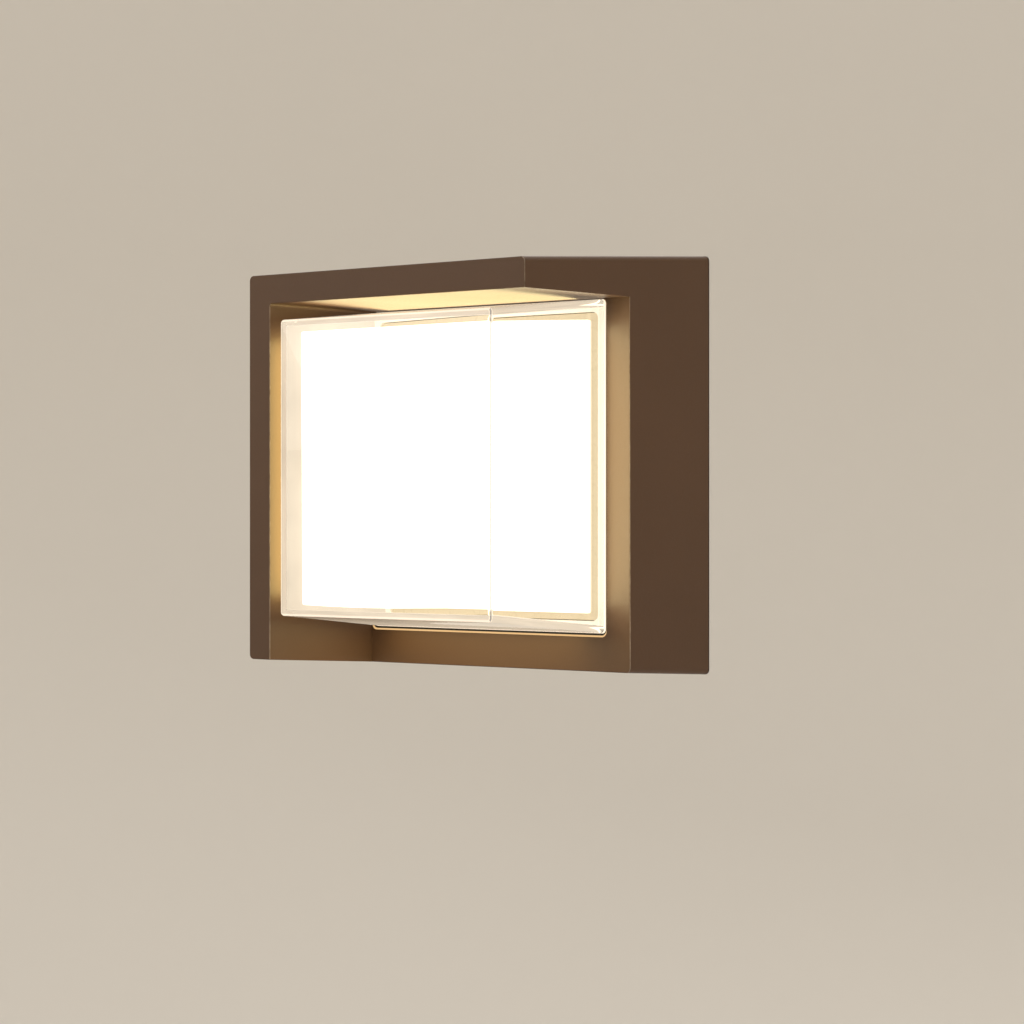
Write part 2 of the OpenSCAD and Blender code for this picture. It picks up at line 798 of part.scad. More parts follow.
wall_bracket();
bracket_earth_screw();
bracket_earth_washer();
housing();
wall_gasket();
set_screw(-boss_x);  // set_screw_left
set_screw(boss_x);  // set_screw_right
back_cover();
back_gasket();
back_cover_screws();
breather_plug();
cable_gland();
gland_nut();
gland_seal();
cable_sheath();
live_core();
neutral_core();
earth_core();
terminal_block();
terminal_clamps();
terminal_screws();
terminal_button(0);  // terminal_button_live
terminal_button(1);  // terminal_button_neutral
terminal_button(2);  // terminal_button_earth
earth_screw();
earth_washer();
earth_lug();
driver_case();
driver_lid();
driver_board();
driver_transformer();
driver_capacitors();
driver_screws();
output_lead_plus();
output_lead_minus();
wire_grommet();
board_connector();
thermal_pad();
led_board();
led_chips();
reflector_sheet();
board_screws();
diffuser();
lens_cover();
cover_seal();
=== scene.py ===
import json
import math

import bmesh
import bpy
from mathutils import Matrix, Vector

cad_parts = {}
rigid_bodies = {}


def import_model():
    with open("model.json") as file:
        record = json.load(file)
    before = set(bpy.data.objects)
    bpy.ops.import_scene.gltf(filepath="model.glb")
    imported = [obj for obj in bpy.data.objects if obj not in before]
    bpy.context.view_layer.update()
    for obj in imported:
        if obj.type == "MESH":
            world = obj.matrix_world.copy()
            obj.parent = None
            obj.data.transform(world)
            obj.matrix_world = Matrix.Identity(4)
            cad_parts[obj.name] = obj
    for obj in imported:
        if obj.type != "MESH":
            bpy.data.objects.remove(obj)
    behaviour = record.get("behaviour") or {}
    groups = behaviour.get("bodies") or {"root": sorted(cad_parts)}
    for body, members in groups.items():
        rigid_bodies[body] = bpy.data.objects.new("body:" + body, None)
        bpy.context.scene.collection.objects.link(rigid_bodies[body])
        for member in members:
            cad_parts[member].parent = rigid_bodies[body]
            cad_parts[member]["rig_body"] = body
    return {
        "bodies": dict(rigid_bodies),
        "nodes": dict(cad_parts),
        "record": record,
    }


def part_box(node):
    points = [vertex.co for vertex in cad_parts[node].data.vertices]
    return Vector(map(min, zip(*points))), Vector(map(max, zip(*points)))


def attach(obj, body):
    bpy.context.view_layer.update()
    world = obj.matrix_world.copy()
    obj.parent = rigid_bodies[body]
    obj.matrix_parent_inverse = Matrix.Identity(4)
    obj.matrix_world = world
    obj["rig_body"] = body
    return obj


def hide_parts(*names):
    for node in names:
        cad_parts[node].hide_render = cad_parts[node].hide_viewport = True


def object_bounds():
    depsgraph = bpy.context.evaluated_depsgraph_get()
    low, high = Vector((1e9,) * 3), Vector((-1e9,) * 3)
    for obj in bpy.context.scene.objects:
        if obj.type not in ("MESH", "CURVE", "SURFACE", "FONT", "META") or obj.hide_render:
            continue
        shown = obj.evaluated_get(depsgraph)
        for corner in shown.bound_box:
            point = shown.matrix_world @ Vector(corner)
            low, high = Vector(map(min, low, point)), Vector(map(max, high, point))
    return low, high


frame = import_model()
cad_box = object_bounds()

# A square outdoor wall lantern. The wall is the plane y = 0, the lantern stands out along -y and +z is up.
# Rectangles are [left, right, bottom, top]; "d" is the distance out from the wall, so y = -d.
MM = 0.001
scene = bpy.context.scene

# ---- Sizes that the finished pieces share with the CAD ----

BASE_D = 53.5 * MM  # the front of the housing's base
POCKET_D = 44.5 * MM  # the floor of the light source's pocket
COVER_DRAFT = math.tan(math.radians(5.3))
COVER_WALL = 3 * MM
COVER_EDGE = 2 * MM  # radius of the cover's long edges
COVER_INNER_EDGE = 0.8 * MM
OPAL_DRAFT = math.tan(math.radians(2.8))
OPAL_WALL = 2 * MM
OPAL_EDGE = 1.2 * MM
OPAL_INNER_EDGE = 1 * MM
FLANGE_T = 1.5 * MM  # the opal box's flange
FLANGE_OUT = 3.13 * MM  # and how far it stands out past the box's root
FLANGE_EDGE = 2.6 * MM  # and the radius of its corners
LED_SIDE = 3 * MM
LEDS_ACROSS = 6

# ---- Sizes and limits of the finished pieces alone ----

COLLAR_D = 53.2 * MM  # the frosted collar round the cover's root reaches this far from the wall
COLLAR = 0.1 * MM  # and stands this proud of the cover's side
RIM_EDGE = 1.1 * MM  # rounding round the cover's front
INNER_RIM = 0.6 * MM  # and round its inner skin's front
OPAL_RIM = 0.6 * MM
OPAL_INNER_RIM = 0.5 * MM
FLANGE_RIM = 0.3 * MM
FACE_EASE = 0.45 * MM  # width of the eased edges round the housing's faces
WALL_EASE = 1 * MM  # and of those against the wall
CORNER_STEPS = 8
RIM_STEPS = 4
LEAST_RADIUS = 0.3 * MM  # a shell's corners keep at least this radius up to its front
OUTER_EDGE = 95 * MM  # the base's outer edges lie further than this from its middle
FLAT = math.radians(0.4)  # the casting's faces that turn by less than this are one
CONVEX = math.radians(30)  # its edges that turn by more than this are eased
POCKET_MARGIN = 1 * MM  # the painted pocket reaches this far past the opal box
LIP_DEPTH = 1 * MM  # the lip with painted light reaches this far behind the base's front
LIP_NEAR = 2 * MM  # and this far past the cover's root at its left and top
LIP_FAR = 3 * MM  # and this far at its right and bottom
SLANT = 0.3  # a casting's face points towards an axis if its normal's part along it is over this
CORNER_SLANT = 0.4  # the same for the cover's eased edges
SKIN_SLANT = 0.5  # and for its inner faces
SEALANT_LEDGE = 2.5 * MM  # the sealant carries painted light further inside the cover's root outline than this
OPAL_SHADE_FADE = (1.6 * MM, 4 * MM)  # the opal box's painted shade at its root fades out between these distances from it
SAME_PLACE = 2e-6  # the casting's vertices nearer than this are one
SEAM = 0.001 * MM  # and the opal box's
ON_PLANE = 0.02 * MM  # a vertex this near to a plane is in it
SAME_D = 0.01 * MM  # distances from the wall that differ by less are the same


def box_rect(node):
    """A node's outline seen from the front, and its rear's and its front's distances from the wall."""
    low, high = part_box(node)
    return [low.x, high.x, low.z, high.z], -high.y, -low.y


def inset(rect, a):
    """A rectangle drawn in by a on all sides, or out where a is negative."""
    return [rect[0] + a, rect[1] - a, rect[2] + a, rect[3] - a]


# ---- Shader maths ----


class Value:
    """What a node gives. On numbers, Python's operators add the Math nodes."""

    def __init__(self, look, socket):
        self.look, self.socket = look, socket

    def _math(self, operation, first, second):
        return self.look.add("ShaderNodeMath", {"operation": operation}, {0: first, 1: second})

    def __add__(self, other):
        return self._math("ADD", self, other)

    def __radd__(self, other):
        return self._math("ADD", other, self)

    def __sub__(self, other):
        return self._math("SUBTRACT", self, other)

    def __rsub__(self, other):
        return self._math("SUBTRACT", other, self)

    def __mul__(self, other):
        return self._math("MULTIPLY", self, other)

    def __rmul__(self, other):
        return self._math("MULTIPLY", other, self)

    def __gt__(self, other):
        return self._math("GREATER_THAN", self, other)

    def __lt__(self, other):
        return self._math("LESS_THAN", self, other)


class Look:
    """A material made of nodes, ending in a Principled shader."""

    def __init__(self, name, **constants):
        self.material = bpy.data.materials.new(name)
        self.material.use_nodes = True
        self.tree = self.material.node_tree
        self.shader = self.tree.nodes["Principled BSDF"]
        for socket, value in constants.items():
            self.shader.inputs[socket.replace("_", " ")].default_value = value
        self.place = self.add("ShaderNodeTexCoord", output="Object")

    def add(self, kind, settings=None, inputs=None, output=0):
        """Adds a node: its settings first, then what its sockets hold or are linked to."""
        node = self.tree.nodes.new(kind)
        for key, value in (settings or {}).items():
            if key == "stops":
                ramp = node.color_ramp
                while len(ramp.elements) < len(value):
                    ramp.elements.new(0.5)
                for element, (position, colour) in zip(ramp.elements, value):
                    element.position, element.color = position, colour
            else:
                setattr(node, key, value)
        for key, value in (inputs or {}).items():
            if isinstance(value, Value):
                self.tree.links.new(value.socket, node.inputs[key])
            else:
                node.inputs[key].default_value = value
        return Value(self, node.outputs[output])

    def stretch(self, scale):
        return self.add("ShaderNodeMapping", {}, {"Vector": self.place, "Scale": scale})

    def along(self, axis):
        return self.add("ShaderNodeSeparateXYZ", {}, {0: self.place}, output=axis)

    def noise(self, scale, detail=3.0, rough=0.5, vector=None):
        return self.add(
            "ShaderNodeTexNoise",
            {},
            {"Vector": vector or self.place, "Scale": scale, "Detail": detail, "Roughness": rough},
        )

    def cells(self, scale):
        """A colour drawn at random for each cell."""
        return self.add("ShaderNodeTexVoronoi", {}, {"Vector": self.place, "Scale": scale}, output="Color")

    def wave(self, direction, scale, distortion):
        """Bands of that direction, from 0 to 1."""
        inputs = {"Vector": self.place, "Scale": scale, "Distortion": distortion}
        return self.add("ShaderNodeTexWave", {"bands_direction": direction}, inputs, output=1)

    def between(self, value, low, high, to_low=0.0, to_high=1.0):
        """value taken from low..high to to_low..to_high, and held there beyond the ends."""
        inputs = {0: value, 1: low, 2: high, 3: to_low, 4: to_high}
        return self.add("ShaderNodeMapRange", {"clamp": True}, inputs)

    def mix(self, first, second, amount):
        first, second = (c if isinstance(c, Value) else (*c, 1.0) for c in (first, second))
        return self.add("ShaderNodeMix", {"data_type": "RGBA"}, {0: amount, 6: first, 7: second}, output=2)

    def set(self, socket, value):
        self.tree.links.new(value.socket, self.shader.inputs[socket])

    def bump(self, height, depth):
        """Relief of that height in metres, from a value of 0 to 1."""
        self.set("Normal", self.add("ShaderNodeBump", {}, {"Distance": depth, "Height": height}))


def grained(name, colour, other, rough, patch=60, grain=2500, depth=0.02 * MM, **constants):
    """A finish of two near colours in soft patches, with a fine grain and uneven gloss."""
    look = Look(name, **constants)
    patches = look.noise(patch, 4)
    fine = look.noise(grain, 2)
    look.set("Base Color", look.mix(colour, other, look.between(0.7 * patches + 0.3 * fine, 0.3, 0.7)))
    look.set("Roughness", look.between(patches, 0.3, 0.7, rough[0], rough[1]))
    look.bump(fine, depth)
    return look.material


def drawn(name, colour, other, rough, way=(1, 1, 60), depth=0.006 * MM, **constants):
    """Metal with fine lines from drawing or rolling."""
    look = Look(name, Metallic=1.0, **constants)
    lines = look.noise(90, 5, 0.6, look.stretch(way))
    stain = look.noise(35, 3)
    look.set("Base Color", look.mix(colour, other, look.between(0.5 * lines + 0.5 * stain, 0.35, 0.65)))
    look.set("Roughness", look.between(lines, 0.3, 0.7, rough[0], rough[1]))
    look.bump(lines, depth)
    return look.material


BRONZE = ((0.09, 0.046, 0.0225), (0.103, 0.053, 0.0265))


def powder_coat(name):
    """Matt bronze powder coat: a fine orange peel with a finer grain on it, and a faint metallic fleck."""
    look = Look(name, Specular_IOR_Level=0.35)
    cloud = look.noise(14, 3)
    peel = look.noise(620, 2)
    grain = look.noise(2600, 2, 0.6)
    fleck = look.between(look.noise(5200, 1), 0.66, 0.74)
    brown = look.mix(*BRONZE, look.between(0.6 * cloud + 0.4 * grain, 0.3, 0.7))
    look.set("Base Color", look.mix(brown, (0.2, 0.125, 0.07), 0.3 * fleck))
    look.set("Roughness", look.between(0.5 * peel + 0.5 * cloud, 0.3, 0.7, 0.4, 0.5))
    look.bump(0.65 * peel + 0.35 * grain, 0.045 * MM)
    return look.material


def galvanised(name):
    """Zinc spangle: flat crystals of slightly different greys."""
    look = Look(name, Metallic=1.0)
    crystal = look.add("ShaderNodeSeparateColor", {}, {0: look.cells(170)})
    fine = look.noise(900, 3)
    tone = look.between(0.75 * crystal + 0.25 * fine, 0.1, 0.9)
    look.set("Base Color", look.mix((0.5, 0.51, 0.53), (0.72, 0.73, 0.74), tone))
    look.set("Roughness", look.between(tone, 0.0, 1.0, 0.32, 0.52))
    look.bump(0.7 * crystal + 0.3 * fine, 0.01 * MM)
    return look.material


def striped_wire(name):
    """Green insulation with a yellow stripe that winds round the core."""
    look = Look(name)
    stripe = look.between(look.wave("DIAGONAL", 70.0, 1.5), 0.55, 0.65)
    look.set("Base Color", look.mix((0.06, 0.28, 0.05), (0.75, 0.6, 0.03), stripe))
    look.set("Roughness", look.between(look.noise(900), 0.3, 0.7, 0.38, 0.5))
    return look.material


def circuit_board(name, mask, copper):
    """Solder mask over faint copper tracks."""
    look = Look(name, IOR=1.5)
    facing = look.add("ShaderNodeMapping", {}, {"Vector": look.place, "Rotation": (math.pi / 2, 0, 0)})
    inputs = {"Vector": facing, "Scale": 50.0, "Mortar Size": 0.05, "Mortar Smooth": 0.1}
    tracks = look.add("ShaderNodeTexBrick", {"offset": 0.5}, inputs, output=1)
    speck = look.noise(1500, 2)
    tracked = look.mix(mask, copper, 0.6 * tracks)
    look.set("Base Color", look.mix(tracked, mask, look.between(speck, 0.2, 0.9)))
    look.set("Roughness", look.between(speck, 0.3, 0.7, 0.3, 0.42))
    look.bump(tracks + 0.15 * speck, 0.03 * MM)
    return look.material


def phosphor(name):
    """The yellow cap of an LED, lit."""
    look = Look(name, Emission_Strength=2.0)
    dots = look.noise(4000, 2)
    tint = look.mix((0.95, 0.62, 0.12), (1.0, 0.78, 0.3), dots)
    look.set("Base Color", tint)
    look.set("Emission Color", tint)
    look.set("Roughness", look.between(dots, 0.3, 0.7, 0.35, 0.5))
    return look.material


def winding_tape(name):
    """Yellow tape in turns round a transformer."""
    look = Look(name)
    turns = look.wave("Y", 160.0, 0.4)
    look.set("Base Color", look.mix((0.62, 0.46, 0.06), (0.8, 0.64, 0.14), turns))
    look.set("Roughness", look.between(look.noise(700), 0.3, 0.7, 0.25, 0.4))
    look.bump(turns, 0.05 * MM)
    return look.material


ACRYLIC = 1.49  # refractive index
OPAL_LIGHT = 1.4


def opal(name, root_d):
    """Lit opal acrylic: white, with painted shade at its root and its flange that makes both its glow and its
    colour dimmer and warmer there.
    """
    look = Look(name, Emission_Strength=OPAL_LIGHT, IOR=ACRYLIC)
    out = -1.0 * look.along("Y")
    cloud = look.between(look.noise(45, 3), 0.3, 0.7, 0.97, 1.0)
    # Painted shade: 0 at the root, rising to 1 past the fade.
    root = look.between(out, root_d + OPAL_SHADE_FADE[0], root_d + OPAL_SHADE_FADE[1])
    tint = look.mix((0.42, 0.33, 0.19), (1.0, 0.93, 0.8), root * cloud)
    look.set("Emission Color", tint)
    look.set("Base Color", look.mix((0.22, 0.2, 0.17), (0.86, 0.84, 0.8), root * cloud))
    look.set("Roughness", look.between(look.noise(500), 0.3, 0.7, 0.25, 0.35))
    return look.material


def painted_light_edge(name):
    """Frosted acrylic with painted light: a glow that stands in for the light source lighting it from within.
    """
    look = Look(name, Emission_Strength=1.0, IOR=ACRYLIC)
    frost = look.noise(700, 3)
    look.set("Emission Color", look.mix((1.0, 0.9, 0.74), (0.9, 0.78, 0.6), frost))
    look.set("Base Color", look.mix((0.75, 0.72, 0.66), (0.68, 0.65, 0.6), frost))
    look.set("Roughness", look.between(frost, 0.3, 0.7, 0.5, 0.65))
    return look.material


def sealant(name, root):
    """Sealant: dark outside the cover, and inside it a white ledge with painted light, a glow standing in for
    the opal box's light.
    """
    look = Look(name, Emission_Strength=1.0)
    smear = look.noise(500, 3)
    ledge = inset(root, SEALANT_LEDGE)
    inside = (look.along("X") > ledge[0]) * (look.along("Z") > ledge[2])
    inside = inside * (ledge[1] > look.along("X")) * (ledge[3] > look.along("Z"))
    dark = look.mix((0.022, 0.016, 0.011), (0.035, 0.026, 0.019), smear)
    look.set("Base Color", look.mix(dark, (0.6, 0.56, 0.5), inside))
    # Painted light: the ledge's glow.
    lit = look.mix((0.62, 0.55, 0.45), (0.54, 0.48, 0.39), smear)
    look.set("Emission Color", look.mix((0.0, 0.0, 0.0), lit, inside))
    look.set("Roughness", look.between(smear, 0.3, 0.7, 0.4, 0.55))
    look.bump(smear, 0.06 * MM)
    return look.material


def painted_light_lip(name):
    """The rebate's bevelled lip: bronze with painted light, a golden glow standing in for the cover's light
    full on it.
    """
    look = Look(name, Emission_Strength=1.0, Specular_IOR_Level=0.35)
    grain = look.noise(900, 3)
    look.set("Base Color", look.mix(*BRONZE, grain))
    look.set("Emission Color", look.mix((0.78, 0.5, 0.22), (0.66, 0.42, 0.18), grain))
    look.set("Roughness", look.between(grain, 0.3, 0.7, 0.4, 0.5))
    look.bump(grain, 0.03 * MM)
    return look.material


def eased_edge(name, colour, other, painted_glow_strength):
    """The moulded rounding round the cover's front, with painted light: a glow that stands in for light it
    takes in from within.
    """
    look = Look(name, Transmission_Weight=1.0, IOR=ACRYLIC, Emission_Strength=painted_glow_strength)
    flow = look.noise(400, 3)
    look.set("Base Color", look.mix(colour, other, flow))
    look.set("Emission Color", look.mix((1.0, 0.9, 0.76), (0.95, 0.84, 0.68), flow))
    look.set("Roughness", look.between(flow, 0.3, 0.7, 0.06, 0.12))
    return look.material


def frosted_painted_glow_skin(name):
    """The cover's inner face where it is frosted, with painted light: a glow that stands in for the opal
    box's light beside it.
    """
    look = Look(name, Emission_Strength=1.0, IOR=ACRYLIC)
    frost = look.noise(260, 3)
    cloud = look.between(look.noise(22, 2), 0.35, 0.65)
    tint = look.mix((0.62, 0.52, 0.4), (0.82, 0.69, 0.53), 0.8 * cloud + 0.2 * frost)
    look.set("Emission Color", tint)
    look.set("Base Color", look.mix((0.16, 0.15, 0.13), (0.12, 0.11, 0.1), frost))
    look.set("Roughness", look.between(frost, 0.3, 0.7, 0.6, 0.75))
    return look.material


def clear(name):
    """Clear acrylic with the faint unevenness of a moulding."""
    look = Look(name, Transmission_Weight=1.0, IOR=ACRYLIC)
    flow = look.noise(25, 2)
    look.set("Base Color", look.mix((1.0, 0.99, 0.97), (0.985, 0.985, 0.965), flow))
    look.set("Roughness", look.between(flow, 0.35, 0.65, 0.0, 0.02))
    return look.material


FINISHES = {
    "bronze_casting": powder_coat("bronze powder coat"),
    "galvanised_sheet": galvanised("galvanised sheet"),
    "zinc_screw": drawn(
        "zinc plated screw", (0.62, 0.64, 0.66), (0.74, 0.75, 0.76), (0.22, 0.36), (40, 2, 40)
    ),
    "black_oxide_screw": drawn(
        "black oxide screw", (0.03, 0.03, 0.032), (0.06, 0.06, 0.065), (0.35, 0.5), (2, 2, 60)
    ),
    "aluminium_sheet": drawn("aluminium sheet", (0.66, 0.67, 0.68), (0.76, 0.76, 0.77), (0.28, 0.44)),
    "brass_parts": drawn("brass", (0.68, 0.44, 0.15), (0.8, 0.55, 0.22), (0.24, 0.4), (30, 3, 30)),
    "black_foam": grained(
        "black foam", (0.012, 0.012, 0.012), (0.03, 0.03, 0.03), (0.85, 0.95), 300, 1400, 0.25 * MM
    ),
    "red_silicone": grained("red silicone", (0.42, 0.05, 0.02), (0.5, 0.08, 0.035), (0.5, 0.62)),
    "grey_rubber": grained("grey rubber", (0.055, 0.055, 0.058), (0.08, 0.08, 0.083), (0.65, 0.8)),
    "sealant": sealant("sealant", box_rect("lens_cover")[0]),
    "black_nylon": grained("black nylon", (0.011, 0.011, 0.012), (0.02, 0.02, 0.021), (0.42, 0.58)),
    "terminal_white": grained("white polyamide", (0.7, 0.68, 0.6), (0.76, 0.74, 0.67), (0.4, 0.52)),
    "terminal_orange": grained("orange polyamide", (0.75, 0.17, 0.01), (0.82, 0.22, 0.02), (0.35, 0.48)),
    "brown_wire": grained("brown insulation", (0.13, 0.045, 0.015), (0.17, 0.06, 0.02), (0.38, 0.5)),
    "blue_wire": grained("blue insulation", (0.01, 0.07, 0.4), (0.015, 0.1, 0.5), (0.38, 0.5)),
    "green_yellow_wire": striped_wire("green and yellow insulation"),
    "red_wire": grained("red insulation", (0.5, 0.01, 0.01), (0.6, 0.02, 0.015), (0.38, 0.5)),
    "black_wire": grained("black insulation", (0.012, 0.012, 0.012), (0.022, 0.022, 0.022), (0.45, 0.6)),
    "white_board": circuit_board("white board", (0.82, 0.83, 0.82), (0.7, 0.7, 0.68)),
    "green_board": circuit_board("green board", (0.01, 0.12, 0.03), (0.05, 0.25, 0.06)),
    "phosphor": phosphor("LED phosphor"),
    "white_sheet": grained("white reflector sheet", (0.86, 0.86, 0.85), (0.9, 0.9, 0.89), (0.7, 0.85)),
    "driver_plastic": grained("driver plastic", (0.75, 0.75, 0.72), (0.8, 0.8, 0.77), (0.42, 0.55)),
    "thermal_grey": grained("thermal pad", (0.2, 0.22, 0.24), (0.26, 0.28, 0.3), (0.75, 0.9)),
    "winding_tape": winding_tape("winding tape"),
    "capacitor_sleeve": grained("capacitor sleeve", (0.02, 0.02, 0.035), (0.035, 0.035, 0.055), (0.22, 0.34)),
    "opal_acrylic": opal("opal acrylic", box_rect("diffuser")[1]),
    "clear_acrylic": clear("clear acrylic"),
}
PAINTED_LIGHT_EDGE = painted_light_edge("lit acrylic edge")
# Painted light: the eased rim glows faintly, standing in for light piped through the acrylic.
EASED_EDGE = eased_edge("eased acrylic edge", (0.99, 0.98, 0.96), (0.96, 0.95, 0.92), 0.3)
# Painted shade: the cover's front right corner edge is tinted dark so it shows as a dark line, with a fainter
# painted glow.
CORNER_EDGE = eased_edge("acrylic corner edge", (0.22, 0.24, 0.28), (0.28, 0.3, 0.35), 0.05)
FROSTED_PAINTED_GLOW_SKIN = frosted_painted_glow_skin("frosted acrylic")
POCKET_WHITE = grained("white reflector paint", (0.84, 0.8, 0.72), (0.88, 0.84, 0.77), (0.6, 0.75))
PAINTED_LIGHT_LIP = painted_light_lip("lit bronze lip")
# Painted glint: lighter, glossier bronze on the eased edges that face right and out, standing in for
# highlights.
PAINTED_GLINT_EDGE = grained("rubbed bronze edge", (0.12, 0.075, 0.045), (0.34, 0.26, 0.19), (0.3, 0.42), 160, 420)
NODE_SLOT = {part["node"]: part["material_slot"] for part in frame["record"]["subparts"]}
NODE_BODY = {name: node["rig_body"] for name, node in frame["nodes"].items()}

for name, node in frame["nodes"].items():
    node.data.materials.clear()
    node.data.materials.append(FINISHES[NODE_SLOT[name]])


# ---- Mesh helpers ----


def rounded(rect, r, d, steps=CORNER_STEPS):
    """The corners of a rounded rectangle at distance d from the wall, anticlockwise from the front."""
    left, right, bottom, top = rect
    centres = ((right - r, top - r), (left + r, top - r), (left + r, bottom + r), (right - r, bottom + r))
    ring = []
    for quarter, (x, z) in enumerate(centres):
        for k in range(steps + 1):
            a = math.pi / 2 * (quarter + k / steps)
            ring.append(Vector((x + r * math.cos(a), -d, z + r * math.sin(a))))
    return ring


def loft(mesh, rings, close_last=False):
    """Skins neighbouring rings of equal length. Returns the first and last rings' vertices."""
    rows = [[mesh.verts.new(p) for p in ring] for ring in rings]
    for low, high in zip(rows, rows[1:]):
        for k in range(len(low)):
            n = (k + 1) % len(low)
            mesh.faces.new((low[k], low[n], high[n], high[k]))
    if close_last:
        mesh.faces.new(rows[-1])
    return rows[0], rows[-1]


def sharpen(mesh, degrees=32):
    """Smooth faces, with the edges left sharp where the surface really turns."""
    for face in mesh.faces:
        face.smooth = True
    for edge in mesh.edges:
        if len(edge.link_faces) == 2:
            edge.smooth = edge.calc_face_angle() < math.radians(degrees)


def piece(name, mesh, slot, degrees=32):
    """Makes an object of a bmesh, in the finish of that slot."""
    bmesh.ops.recalc_face_normals(mesh, faces=mesh.faces)
    sharpen(mesh, degrees)
    data = bpy.data.meshes.new(name)
    mesh.to_mesh(data)
    mesh.free()
    data.materials.append(FINISHES[slot])
    thing = bpy.data.objects.new(name, data)
    scene.collection.objects.link(thing)
    return thing


def settle(thing):
    """Turns an object's modifiers into plain mesh."""
    bpy.context.view_layer.update()
    graph = bpy.context.evaluated_depsgraph_get()
    data = bpy.data.meshes.new_from_object(thing.evaluated_get(graph), depsgraph=graph)
    thing.modifiers.clear()
    old, thing.data = thing.data, data
    bpy.data.meshes.remove(old)
    return thing


def add_finishes(thing, *finishes):
    """Adds materials to a piece and returns their slots' numbers."""
    first = len(thing.data.materials)
    for finish in finishes:
        thing.data.materials.append(finish)
    return range(first, first + len(finishes))


def stand_for(thing, *nodes):
    """The piece rides on the body of the nodes that it replaces, and they are hidden."""
    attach(thing, NODE_BODY[nodes[0]])
    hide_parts(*nodes)
    return thing


# ---- Housing: the casting with its edges eased ----


def housing_shell():
    """The casting with eased edges. Its lip with painted light, its white-painted pocket and its edges with
    painted glints are found by place and direction.
    """
    low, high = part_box("housing")
    front, wall = low.y, high.y
    mesh = bmesh.new()
    mesh.from_mesh(frame["nodes"]["housing"].data)
    bmesh.ops.remove_doubles(mesh, verts=mesh.verts, dist=SAME_PLACE)
    bmesh.ops.dissolve_limit(mesh, angle_limit=FLAT, verts=mesh.verts, edges=mesh.edges)
    bmesh.ops.recalc_face_normals(mesh, faces=mesh.faces)
    face_weight = mesh.edges.layers.float.new("bevel_weight_edge")
    wall_weight = mesh.edges.layers.float.new("wall_weight_edge")
    for edge in mesh.edges:
        reach = min(max(abs(v.co.x), abs(v.co.z)) for v in edge.verts)
        convex = len(edge.link_faces) == 2 and edge.calc_face_angle_signed() > CONVEX
        for face, least_reach, layer in (
            (front, 0.0, face_weight),
            (-BASE_D, OUTER_EDGE, face_weight),
            (wall, OUTER_EDGE, wall_weight),
        ):
            off_plane = max(abs(v.co.y - face) for v in edge.verts)
            if convex and reach > least_reach and off_plane < ON_PLANE:
                edge[layer] = 1.0
    thing = piece("housing_shell", mesh, "bronze_casting")
    painted_glint, lip, paint = add_finishes(thing, PAINTED_GLINT_EDGE, PAINTED_LIGHT_LIP, POCKET_WHITE)
    for weight, width in (("bevel_weight_edge", FACE_EASE), ("wall_weight_edge", WALL_EASE)):
        bevel = thing.modifiers.new(weight, "BEVEL")
        bevel.limit_method = "WEIGHT"
        bevel.edge_weight = weight
        bevel.width = width
        bevel.segments = 3
        bevel.use_clamp_overlap = weight == "bevel_weight_edge"
        # At first every eased face takes the painted glint.
        bevel.material = painted_glint
    normals = thing.modifiers.new("flat faces", "WEIGHTED_NORMAL")
    normals.keep_sharp = True
    normals.weight = 100
    settle(thing)
    (left, right, bottom, top), pocket_top, _ = box_rect("lens_cover")
    pocket = inset(box_rect("diffuser")[0], -POCKET_MARGIN)
    for face in thing.data.polygons:
        way, spot = face.normal, face.center
        corners = [thing.data.vertices[v].co for v in face.vertices]
        slanted = way.y < -SLANT and (way.z > SLANT or way.x < -SLANT)
        behind = -BASE_D < spot.y < -BASE_D + LIP_DEPTH
        beside = left - LIP_NEAR < spot.x < right + LIP_FAR and bottom - LIP_FAR < spot.z < top + LIP_NEAR
        in_pocket = abs(way.y) < 0.1 and POCKET_D < -spot.y < pocket_top
        # The lip's faces take painted light, a golden glow.
        if slanted and behind and beside:
            face.material_index = lip
        elif in_pocket and all(pocket[0] < c.x < pocket[1] and pocket[2] < c.z < pocket[3] for c in corners):
            face.material_index = paint
        # The painted glint stays only on eased faces that face right and out from the wall.
        elif face.material_index == painted_glint and not (way.x > SLANT and way.y < -SLANT):
            face.material_index = 0
    return stand_for(thing, "housing")


housing_shell()

# ---- Clear cover and opal box ----


def shell_side(mesh, root, rear, front, draft, gap, radius, round_r, collar=0.0):
    """One skin of a drafted box, from its open root to its closed front. Returns the root ring's vertices."""
    front_rect = inset(root, (front - rear) * draft)
    rings = []
    if collar:
        step = (COLLAR_D - rear) * draft
        rings.append(rounded(inset(root, gap - collar), radius + collar, rear))
        rings.append(rounded(inset(root, gap + step - collar), radius + collar, COLLAR_D - collar))
        rings.append(rounded(inset(root, gap + step), radius, COLLAR_D))
    else:
        rings.append(rounded(inset(root, gap), radius, rear))
    for k in range(RIM_STEPS + 1):
        a = math.pi / 2 * k / RIM_STEPS
        shrink = round_r * (1 - math.cos(a))
        end = front - round_r * (1 - math.sin(a))
        rings.append(rounded(inset(front_rect, gap + shrink), max(radius - shrink, LEAST_RADIUS), end))
    return loft(mesh, rings, close_last=True)[0]


def bridge(mesh, outer, inner):
    """Joins a shell's two skins round its open root."""
    for k in range(len(outer)):
        n = (k + 1) % len(outer)
        mesh.faces.new((outer[k], inner[k], inner[n], outer[n]))


